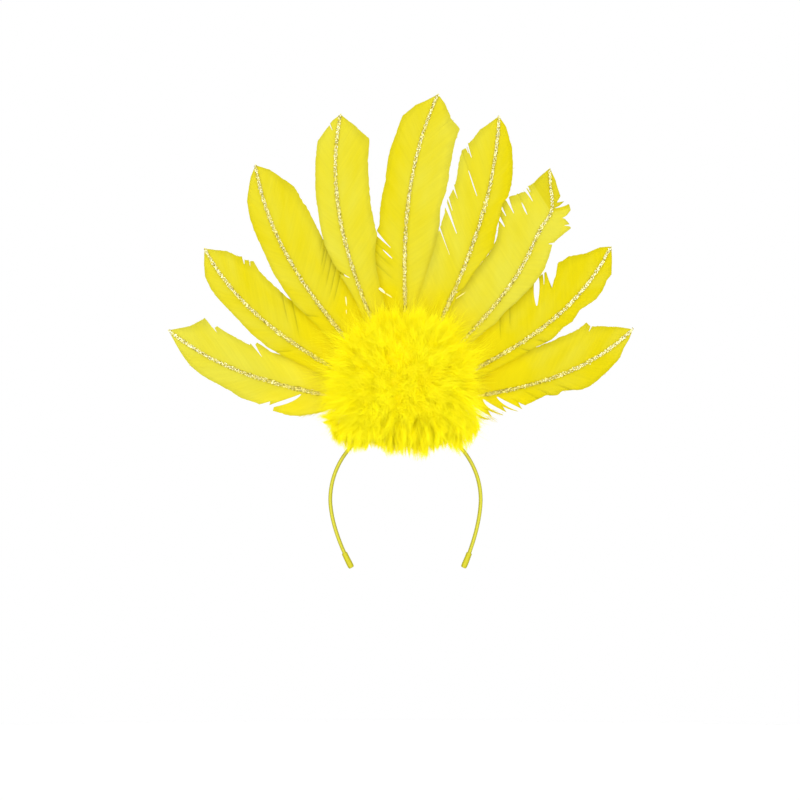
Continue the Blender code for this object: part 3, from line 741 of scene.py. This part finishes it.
# Nearly white barbs laid on a vane as painted glints: feather, where each starts and ends beside its shaft,
# and its width.
GLINT_BARBS = [
    (3, (107.2, 20.7), (100.1, 16.7), 1.6),
    (3, (97.8, 14.7), (94.6, 12.6), 1.2),
    (4, (105.9, 14.7), (100.6, 18.1), 2.8),
    (4, (100.6, 18.5), (96.4, 22.2), 1.3),
    (6, (104.6, 3.9), (112.4, 9.1), 0.9),
]


def glint_barbs(number, feather, look):
    """Short clumps of barbs on the front of a vane, painted glints: the thickest is nearly white, the others
    cream.
    """
    lying = [barb for barb in GLINT_BARBS if barb[0] == number]
    starts, stops = (np.array([barb[end] for barb in lying]).T for end in (1, 2))
    ends = [
        placed(feather, t, w, shaft_depth(feather, t) + camber(w) - GLINT_LIFT) for t, w in (starts, stops)
    ]
    widths = np.array([barb[3] for barb in lying])
    name = f"feather_{number}_glint_barbs"
    return strands(name, *ends, np.zeros(ends[0].shape), widths, widths / GLINT_THICK, look, 3)


vane_front = goose_vane("dyed_goose_vane", DYED_FULL, DYED_PALE, THROUGH)
vane_back = goose_vane("dyed_goose_underside", "EFE23A", "EEE77C", THROUGH)
glint_look = goose_vane("glint_goose_barb", "F4F1C8", "F0E46E", 0.2)
quill_horn = keratin_quill()
ring = full_turn(10)
for number, feather in enumerate(FEATHERS, 1):
    name = f"feather_{number}"
    grid, faces, uv, dye, dark = vane_mesh(number, feather)
    vane = toned(surface(f"{name}_vane", grid, faces, [vane_front, vane_back], uv), dye)
    toned(vane, dark, "shade")
    wall = vane.modifiers.new("sheet", "SOLIDIFY")
    wall.thickness = SHEET * 0.001
    wall.offset = 0.0
    wall.material_offset = 1
    edge_of = np.zeros(len(vane.data.loops), np.int32)
    vane.data.loops.foreach_get("edge_index", edge_of)
    rim = np.bincount(edge_of, minlength=len(vane.data.edges)) == 1
    vane.data.attributes.new("sharp_edge", "BOOLEAN", "EDGE").data.foreach_set("value", rim)
    mount(vane, "feather", name)
    mount(loose_barbs(number, feather, vane_front), "feather", name)
    if number in {barb[0] for barb in GLINT_BARBS}:
        mount(glint_barbs(number, feather, glint_look), "feather", name)
    t = np.linspace(ROOT_RING, feather.length - 0.6, QUILL_RINGS)
    radius = quill_size(feather, t) / 2
    radius[:3] *= [0.80, 0.95, 1.0]
    w = np.multiply.outer(radius, np.cos(ring))
    groove = 1 - 0.25 * np.exp(-(((ring - math.pi / 2) / 0.3) ** 2))
    y = shaft_depth(feather, t)[:, None] + np.multiply.outer(radius, np.sin(ring) * groove)
    tube = placed(feather, t[:, None], w, y)
    mount(closed_tube(f"{name}_quill", tube, [quill_horn], points_of(t[:, None], ring)), "feather", name)


# Glitter lines.
# A bead of clear glue is run down the front of each shaft and strewn with square-cut champagne
# and silver flakes. It is thin towards the tip and thicker and browner towards the fluff.

GLITTER_INSIDE = 39.0   # the line starts this far out from the ring of quill ends
GLITTER_TAPER = 70.0    # and narrows most over the first part of its way
GLITTER_WIDTH = 2.0
GLITTER_HEIGHT = 0.9
FLAKE_RADIUS = 0.46     # real flakes are 0.2 mm, drawn larger so that they sparkle here
FLAKES_PER_MM = 14.0
FLAKE_RISE = 0.03
BEAD_RINGS = 110
GLITTER_TONES = [(0.0, "82740E"), (0.25, "B0A022"), (0.5, "DCCC40"), (0.75, "FCF47C"), (1.0, "FFFFE0")]


def flakes(centres, normals, radius, turn):
    """Flat square-cut flakes, each a four-sided rim with a point just above and below its centre."""
    normals = unit(normals)
    helper = np.where(np.abs(normals[:, 2:]) < 0.8, [[0.0, 0.0, 1.0]], [[1.0, 0.0, 0.0]])
    first = unit(np.cross(normals, helper))
    second = np.cross(normals, first)
    angle = turn[:, None] + np.arange(4) * math.pi / 2
    rim = centres[:, None] + radius[:, None, None] * (
        np.cos(angle)[..., None] * first[:, None] + np.sin(angle)[..., None] * second[:, None]
    )
    poles = np.stack([centres + FLAKE_RISE * normals, centres - FLAKE_RISE * normals], 1)
    points = np.concatenate([rim, poles], 1)
    step = np.arange(4)
    top = np.stack([step, (step + 1) % 4, np.full(4, 4)], 1)
    low = np.stack([(step + 1) % 4, step, np.full(4, 5)], 1)
    faces = np.concatenate([top, low])[None] + 6 * np.arange(len(centres))[:, None, None]
    return points.reshape(-1, 3), faces.reshape(-1, 3)


def graded(tree, value, stops):
    """A colour ramp: each stop is a place from 0 to 1 and an sRGB hex colour."""
    ramp = node(tree, "ValToRGB", {"Fac": value})
    bands = ramp.color_ramp
    for at, _ in stops[1:-1]:
        bands.elements.new(at)
    for element, (at, colour) in zip(bands.elements, stops):
        element.position = at
        element.color = linear(colour)
    return ramp.outputs[0]


def glitter_flakes():
    """Metallised polyester flakes: bright, each with its own tone from taupe to silver."""
    look, tree = new_look("metallised_polyester_flakes")
    colour = graded(tree, attribute(tree, "tone"), GLITTER_TONES)
    return finished(look, principled(tree, base_color=colour, metallic=0.4, roughness=0.4))


def dried_glue():
    """Dried craft glue full of glitter dust: glossy, pale champagne, dotted at about half a millimetre."""
    look, tree = new_look("dried_glitter_glue")
    dots = node(tree, "TexVoronoi", {"Vector": coordinates(tree, "Object"), "Scale": 1000 / 0.6})
    colour = graded(tree, dots.outputs["Color"], [(0.0, "AE9A3C"), (1.0, "F0E484")])
    return finished(
        look, principled(tree, base_color=colour, roughness=0.3, metallic=0.2, coat_weight=0.5)
    )


glue = dried_glue()
sparkle = glitter_flakes()
arch = full_turn(8)
for number, feather in enumerate(FEATHERS, 1):
    rng = np.random.default_rng(900 + number)
    start = ROOT_RING + GLITTER_INSIDE
    end = feather.length - 1.0
    stages = [start, start + GLITTER_TAPER, end]
    t = np.linspace(start, end, BEAD_RINGS)
    narrowing = np.interp(t, stages, [1.45, 1.15, 0.95])
    wide = GLITTER_WIDTH / 2 * (0.86 + 0.16 * rough(700 + number, BEAD_RINGS, 4)) * narrowing
    base = shaft_depth(feather, t) - quill_size(feather, t) / 2 * 0.9
    w = np.multiply.outer(wide, np.cos(arch))
    high = np.where(np.sin(arch) > 0, GLITTER_HEIGHT * 0.8, 0.25) * np.sin(arch)
    y = base[:, None] - high[None, :] * (wide / wide.max())[:, None]
    bead_grid = placed(feather, t[:, None], w, y)
    bead = closed_tube(f"glitter_{number}_glue", bead_grid[:, ::-1], [glue])
    mount(bead, "glitter", f"glitter_line_{number}")
    count = int((end - start) * FLAKES_PER_MM)
    along = rng.uniform(start, end, count)
    across = rng.uniform(-1, 1, count) + rng.normal(0, 0.15, count)
    half = np.interp(along, t, wide)
    depth = np.interp(along, t, base) - GLITTER_HEIGHT * 0.75 * np.sqrt(1 - np.minimum(across ** 2, 1) * 0.85)
    centres = placed(feather, along, across * half * 1.3, depth + rng.normal(0, 0.08, count))
    lean = math.radians(feather.lean)
    tilt = rng.normal(0, 0.45, (2, count))
    normals = np.stack([across * 0.8 * math.cos(lean) + tilt[0], np.full(count, -1.0), tilt[1]], 1)
    radius = FLAKE_RADIUS * rng.uniform(0.7, 1.15, count)
    points, faces = flakes(centres, normals, radius, rng.uniform(0, math.pi, count))
    line = surface(f"glitter_{number}_flakes", points, faces.tolist(), [sparkle])
    line.data.shade_flat()
    # The rise in flake tone over the outer half, by shine, is a painted glint.
    dull = np.interp(along, stages, [0.8, 1.0, 1.1 * feather.shine])
    toned(line, np.repeat(rng.beta(0.6, 0.55, count) * dull, 6))
    mount(line, "glitter", f"glitter_line_{number}")


# Marabou fluff, upper mass.
# Marabou is the soft down of a turkey, dyed yellow and sold as a strung trim. Short lengths of it
# are glued over the quill ends on a padded core, and its long weak barbs stand out in tufts.

FLUFF_BACK = QUILL_PLANE - 3 * LAYER_STEP - QUILL_ROOT / 2 - GLITTER_HEIGHT - 2 * CLEARANCE
FLUFF_HALF_WIDTH = 53.0
FLUFF_CENTRE = 36.0
FLUFF_RISE = 53.0
FLUFF_PARTING = 2.3
FLUFF_DEPTH = 21.0
FLUFF_SQUARE = 0.8
FLUFF_LIGHT = "FFFD20"
FLUFF_DEEP = "FEFA04"
FLUFF_PALE = "FFFD50"
CORE_SHARE = 0.90       # the core's size, as shares of the fluff's outline and depth
CORE_DEPTH_SHARE = 0.85
FRONT_LIMIT = -50.0
CREASE_SIDE = -6.8
CREASE_HEIGHT = 34.0

# How far the outermost barbs reach from the middle of the fluff: degrees from the right, and reach.
FLUFF_EDGE = [
    (0, 66), (23, 70.5), (34, 65.5), (48, 62), (59, 61), (68, 66), (76, 62), (86, 65), (91, 68), (98, 62),
    (117, 60.5), (130, 60), (142, 62), (157, 70), (180, 67), (192, 69), (202, 72.5), (210, 71), (217, 74.5),
    (229, 73.5), (235, 63), (252, 57), (270, 57), (290, 57), (304, 64), (309, 76), (316, 75), (327, 74),
    (335, 77.5), (347, 69),
]


def fluff_outline(turns):
    """A squared ellipse: cosine and sine of the turn to the power 0.8, flatter below the middle."""
    c, s = np.cos(turns), np.sin(turns)
    height = np.where(s > 0, FLUFF_RISE, FLUFF_CENTRE - FLUFF_PARTING)
    side = FLUFF_HALF_WIDTH * np.sign(c) * np.abs(c) ** FLUFF_SQUARE
    return side, height * np.sign(s) * np.abs(s) ** FLUFF_SQUARE


def dome(share):
    """How far the padded core stands out: full in the middle, falling with the cube of the share."""
    return 3.0 + (FLUFF_DEPTH - 3.0) * (1 - share ** 3)


def marabou_down():
    """Dyed turkey down: weak, dull barbs that let light through, paler towards their tips."""
    look, tree = new_look("dyed_turkey_down")
    dyed = mixed(tree, attribute(tree, "tone"), FLUFF_DEEP, FLUFF_LIGHT)
    run = node(tree, "SeparateXYZ", {0: coordinates(tree, "UV")}).outputs[0]
    colour = mixed(tree, ranged(tree, run, 0.35, 1.0, 0.0, 0.4), dyed, FLUFF_PALE)
    shader = principled(tree, base_color=colour, roughness=0.9, specular=0.1)
    return finished(look, lit_through(tree, shader, 0.5, {"Color": colour}))


def down_core():
    """The matted down under the tufts: a deeper yellow than the tufts, painted shade where it shows between
    them, with soft clumps about 4 mm across.
    """
    look, tree = new_look("matted_down_core")
    clumps = noise(tree, coordinates(tree, "Object"), 1000 / 4.0, 5.0)
    shader = principled(
        tree, base_color=mixed(tree, clumps, "F6E804", "FCF20C"),
        normal=bumped(tree, clumps, 0.6, 0.0010), roughness=0.95, sheen_weight=0.2,
    )
    return finished(look, shader)


down = marabou_down()
matted = down_core()

turns = full_turn(120)
side, up = fluff_outline(turns)
# Share of the outline and depth, from the flat back over the rim to the front.
front = np.linspace(1.0, 0.03, 26)
shares = np.append([0.04, 0.5, 0.92, 0.97], front)[:, None]
depths = np.append([0, 0, 0, 0.8], dome(front))
lumps = 1 + 0.05 * np.sin(3 * turns + 9 * shares) * np.sin(7 * turns - 5 * shares) * shares
core_x = HUB_SIDE + CORE_SHARE * side * shares * lumps
core_y = FLUFF_BACK - CORE_DEPTH_SHARE * depths[:, None]
core_z = FLUFF_CENTRE + CORE_SHARE * up * shares * lumps
core = closed_tube("marabou_upper_core", points_of(core_x, core_y, core_z), [matted])
mount(core, "marabou", "marabou_upper")


Tufts = namedtuple("Tufts", "piece seed ends each spread gather shortest wide rings")
# ends: the root and the tip of each tuft. each: its barbs. spread: how far their roots lie apart in
# X, Y and Z, and gather how many times as far their tips do. shortest: the share of the way that
# the shortest barb goes. wide: the range of a barb's width. rings: its sections.


def tufts(mass, kind):
    """Barbs in tufts, as one piece of a mass of fluff.

    Every barb's root and tip lie a little off the tuft's own by chance. The whole tuft is bowed
    one way, and no barb stands farther forward than the front limit. Its tone follows broad
    patches, products of two sines that bend each other.
    """
    rng = np.random.default_rng(kind.seed)
    roots, tips = kind.ends
    owner = np.repeat(np.arange(len(roots)), kind.each)
    count = len(owner)
    start = roots[owner] + rng.normal(0, 1, (count, 3)) * kind.spread
    end = tips[owner] + rng.normal(0, kind.gather, (count, 3)) * kind.spread
    end = start + (end - start) * rng.uniform(kind.shortest, 1.04, count)[:, None]
    long = np.linalg.norm(tips - roots, axis=1)[:, None]
    sags = (rng.normal(0, 0.09, (len(roots), 3)) * long)[owner] + rng.normal(0, 0.45, (count, 3))
    end[:, 1] = np.maximum(end[:, 1], FRONT_LIMIT)
    widths = rng.uniform(*kind.wide, count)
    x, _, z = roots.T
    patches = 0.5 + 0.45 * np.sin(x / 5 + 2 * np.sin(z / 9)) * np.sin(z / 6 - np.sin(x / 11))
    tones = (patches + rng.normal(0, 0.2, len(roots)))[owner] + rng.normal(0, 0.12, count)
    piece = strands(f"{mass}_{kind.piece}", start, end, sags, widths, tones, down, kind.rings)
    return mount(piece, "marabou", mass)


def rim_tufts(seed, count, stretch=(0.84, 1.04), upper=False):
    """Roots near the dome's outline, tips on the edge that the outermost barbs reach.

    More of them stand low on both sides, or all of them on the upper half.
    """
    rng = np.random.default_rng(seed)
    low = rng.uniform(-0.05, 0.28, count)
    low = np.where(rng.uniform(0, 1, count) < 0.5, 1 + low, 2 - low)
    turn = math.pi * np.where(rng.uniform(0, 1, count) < 0.35, low, rng.uniform(0, 2, count))
    turn = turn % math.pi if upper else turn
    share = rng.uniform(0.62, 0.92, count)
    side, up = fluff_outline(turn)
    depth = FLUFF_BACK - dome(share) * rng.uniform(0.1, 0.9, count)
    height = np.maximum(FLUFF_CENTRE + up * share, FLUFF_PARTING + 1)
    root = points_of(HUB_SIDE + side * share, depth, height)
    aim = np.degrees(np.arctan2(up, side)) + rng.normal(0, 5, count)
    degrees, reaches = np.array(FLUFF_EDGE, float).T
    reach = np.interp(aim % 360, degrees, reaches, period=360) * rng.uniform(*stretch, count)
    aim = np.radians(aim)
    forward = depth - rng.normal(1.5, 3.0, count)
    return root, points_of(HUB_SIDE + reach * np.cos(aim), forward, FLUFF_CENTRE + reach * np.sin(aim))


def face_tufts(seed, count, long):
    """Roots on the dome's face, tips outwards and forward of them with a good deal of chance.

    Beside the crease the tips turn away from it, less with the distance from it.
    """
    rng = np.random.default_rng(seed)
    turn = rng.uniform(0, 2 * math.pi, count)
    share = np.sqrt(rng.uniform(0, 0.86 ** 2, count))
    side, up = fluff_outline(turn)
    depth = FLUFF_BACK - dome(share) * 0.86
    root = points_of(HUB_SIDE + side * share, depth, FLUFF_CENTRE + up * share)
    way = points_of(side * share / 40, -0.36 + 0.2 * share, up * share / 40 + 0.1)
    aside = root[:, 0] - CREASE_SIDE
    crease = np.exp(-np.abs(aside) / 4) * (np.abs(root[:, 2] - CREASE_HEIGHT) < 13)
    way[:, 0] += 1.1 * np.sign(aside) * crease
    way = unit(way + rng.normal(0, 0.38, (count, 3)) * [1, 0.25, 1])
    return root, root + way * rng.uniform(*long, count)[:, None]


back_roots, back_tips = rim_tufts(33, 64)
back_roots[:, 1] = FLUFF_BACK + 0.4
back_tips[:, 1] = FLUFF_BACK + 0.8
wisps = rim_tufts(34, 62, (1.06, 1.24), upper=True)
for kind in [
    Tufts("rim", 11, rim_tufts(31, 440), 26, (2.0, 1.8, 2.0), 1.3, 0.45, (0.11, 0.24), 3),
    Tufts("wisps", 14, wisps, 14, (3.0, 1.0, 3.0), 1.8, 0.6, (0.12, 0.22), 3),
    Tufts("face", 12, face_tufts(32, 520, (12, 20)), 35, (2.6, 0.8, 2.6), 1.2, 0.5, (0.20, 0.36), 2),
    Tufts("back", 13, (back_roots, back_tips), 20, (3.0, 0.3, 3.0), 1.4, 0.4, (0.20, 0.36), 2),
]:
    tufts("marabou_upper", kind)


# Marabou fluff, lower row.
# One more length of the trim runs under the crease, over the front of the band. Its barbs are
# shorter and hang straight down, and those at both ends turn outwards.

ROW_HALF_WIDTH = 61.0
ROW_DROP = 13.0
ROW_DEPTH = 24.0
ROW_CORE_BACK = 3.0     # the core lies this far in front of the felt
ROW_CORE_DEPTH = 0.30   # its half depth and half height, as shares of the row's
ROW_CORE_HEIGHT = 0.46


def row_taper(share):
    """How full the row is: the root of one less the fourth power of the share along it."""
    return 0.45 + 0.55 * np.sqrt(1 - 0.92 * share ** 4)


across = np.linspace(-1, 1, 90)
taper = row_taper(across)[:, None]
loop = full_turn(40)
row_back = BACKING_FRONT - CLEARANCE
row_top = FLUFF_PARTING - CLEARANCE
ripple = 1 + 0.05 * np.sin(9 * loop) * np.sin(11 * across[:, None])
row_y = row_back - ROW_CORE_BACK - ROW_DEPTH * ROW_CORE_DEPTH * taper * (1 + 0.92 * np.sin(loop) * ripple)
row_z = row_top - ROW_DROP * ROW_CORE_HEIGHT * taper * (1 - 0.80 * np.cos(loop) * ripple)
row_x = HUB_SIDE + CORE_SHARE * ROW_HALF_WIDTH * across[:, None]
row_core = closed_tube("marabou_lower_core", points_of(row_x, row_y, row_z), [matted])
mount(row_core, "marabou", "marabou_lower")

# Lowest level of the hanging tips along the row: distance right of the origin, and height.
ROW_HEM = [
    (-70, 7), (-64, 0), (-61, -9), (-56, -14), (-50, -20.5), (-45, -22), (-36, -20), (-28, -17.5),
    (-20, -18.5), (-14, -23), (-6, -23), (4, -24), (12, -26), (18, -25), (26, -19), (33, -17.5),
    (40, -21), (45, -24), (50, -20), (54, -14), (59, -6), (64, 2),
]


def hanging_tufts(seed, count, top, deepest, full):
    """Roots along the bar and over its crown, tips down on the hem or a share of the way to it."""
    rng = np.random.default_rng(seed)
    share = rng.uniform(-1, 1, count)
    taper = row_taper(share)
    deep = deepest * rng.uniform(0.2, 1, count) ** 0.6
    x = HUB_SIDE + share * ROW_HALF_WIDTH * 0.95
    uneven = rng.normal(0, 2.5, count) * (top > 0)
    level = top + 6.0 * share ** 4 + uneven - 8.0 * rng.uniform(0, 1, count) * taper
    root = points_of(x, row_back - ROW_DEPTH * taper * deep, level)
    hem_x, hem_z = np.array(ROW_HEM, float).T
    tip_x = x + 7.0 * share ** 5 + rng.normal(0, 1.6, count)
    fall = (np.interp(tip_x, hem_x, hem_z) - level) * rng.uniform(*full, count)
    return root, points_of(tip_x, root[:, 1] - 5.0 * deep + rng.normal(0, 1, count), level + fall)


fringe = hanging_tufts(41, 270, 0.0, 0.6, (0.92, 1.16))
cover = hanging_tufts(42, 230, 6.0, 0.9, (0.5, 0.95))
behind = hanging_tufts(43, 64, 5.0, 0.12, (0.6, 1.0))
for kind in [
    Tufts("fringe", 21, fringe, 26, (1.1, 1.4, 0.8), 0.32, 0.66, (0.18, 0.34), 3),
    Tufts("cover", 22, cover, 26, (1.4, 1.0, 0.8), 0.7, 0.5, (0.18, 0.32), 2),
    Tufts("back", 23, behind, 20, (1.8, 0.5, 0.8), 0.8, 0.5, (0.20, 0.36), 2),
]:
    tufts("marabou_lower", kind)


# Stage.
# A plain white studio with soft boxes all round, as for a catalogue picture. The floor is white
# card, far enough below to stay out of the straight view.

FLOOR_LEVEL = -460.0
FLOOR_RADIUS = 2600.0
FILL_STRENGTH = 0.72    # the room's light from all round, beside 1 for the white that is seen


def white_card(name):
    """Matt white card with the faintest mottling of its pulp."""
    look, tree = new_look(name)
    pulp = noise(tree, coordinates(tree, "Object"), 1000 / 3.0, 4.0)
    return finished(look, principled(tree, base_color=mixed(tree, pulp, "F4F4F2", "FAFAF9"), roughness=0.9))


turns = full_turn(96)
card = np.array([(0.999, -4.0), (1.0, -3.0), (1.0, -1.0), (0.999, 0.0)])
radius = FLOOR_RADIUS * card[:, :1]
grid = points_of(radius * np.cos(turns), radius * np.sin(turns), FLOOR_LEVEL + card[:, 1:])
closed_tube("floor_card", grid, [white_card("white_card")])

world = bpy.data.worlds.new("white_studio")
bpy.context.scene.world = world
world.use_nodes = True
sky = world.node_tree
sky.nodes.clear()
path = node(sky, "LightPath")
seen, fill = (
    node(sky, "Background", {"Color": (1, 1, 1, 1), "Strength": strength})
    for strength in (1.0, FILL_STRENGTH)
)
shares = {0: path.outputs["Is Camera Ray"], 1: fill.outputs[0], 2: seen.outputs[0]}
blend = node(sky, "MixShader", shares)
node(sky, "OutputWorld", {"Surface": blend.outputs[0]})

# Name, place in metres, width, height and power in watts. Each faces the middle of the fan.
SOFT_BOXES = [
    ("soft_box_left", (-3.0, -2.2, 1.0), 1.8, 2.6, 36.0),
    ("soft_box_right", (3.0, -2.2, 0.8), 1.8, 2.6, 32.0),
    ("soft_box_top", (0.0, -1.8, 3.1), 2.8, 1.6, 24.0),
    ("soft_box_front", (0.0, -4.4, 0.5), 3.6, 3.6, 72.0),
    ("soft_box_back", (0.0, 3.2, 1.7), 2.8, 2.0, 32.0),
]
VIEW_SIDE = -4.4
VIEW_HEIGHT = 20.2
LAMP_AIM = 90.0
for name, place, width, height, power in SOFT_BOXES:
    lamp = bpy.data.lights.new(name, "AREA")
    lamp.shape = "RECTANGLE"
    lamp.size = width
    lamp.size_y = height
    lamp.energy = power
    box = added(name, lamp)
    box.location = place
    aim = np.array([VIEW_SIDE, 0.0, LAMP_AIM]) * 0.001 - place
    sideways = math.atan2(aim[1], aim[0]) - math.pi / 2
    box.rotation_euler = (math.acos(-aim[2] / np.linalg.norm(aim)), 0, sideways)

# The photograph is taken square on from far away: 640 mm of the fan's plane fill its 800 pixels.
FRAME_WIDTH = 640.0
CAMERA_DISTANCE = 3000.0
FAN_PLANE = -8.0
SENSOR = 36.0
lens = bpy.data.cameras.new("camera")
lens.sensor_width = SENSOR
lens.lens = SENSOR * CAMERA_DISTANCE / FRAME_WIDTH
camera = added("camera", lens)
camera.location = (VIEW_SIDE * 0.001, (FAN_PLANE - CAMERA_DISTANCE) * 0.001, VIEW_HEIGHT * 0.001)
camera.rotation_euler = (math.pi / 2, 0, 0)
bpy.context.scene.camera = camera
bpy.context.scene.view_settings.view_transform = "Standard"
# The down passes light on from barb to barb many times, so paths are let run longer than usual.
bpy.context.scene.cycles.max_bounces = 24
bpy.context.scene.cycles.diffuse_bounces = 16
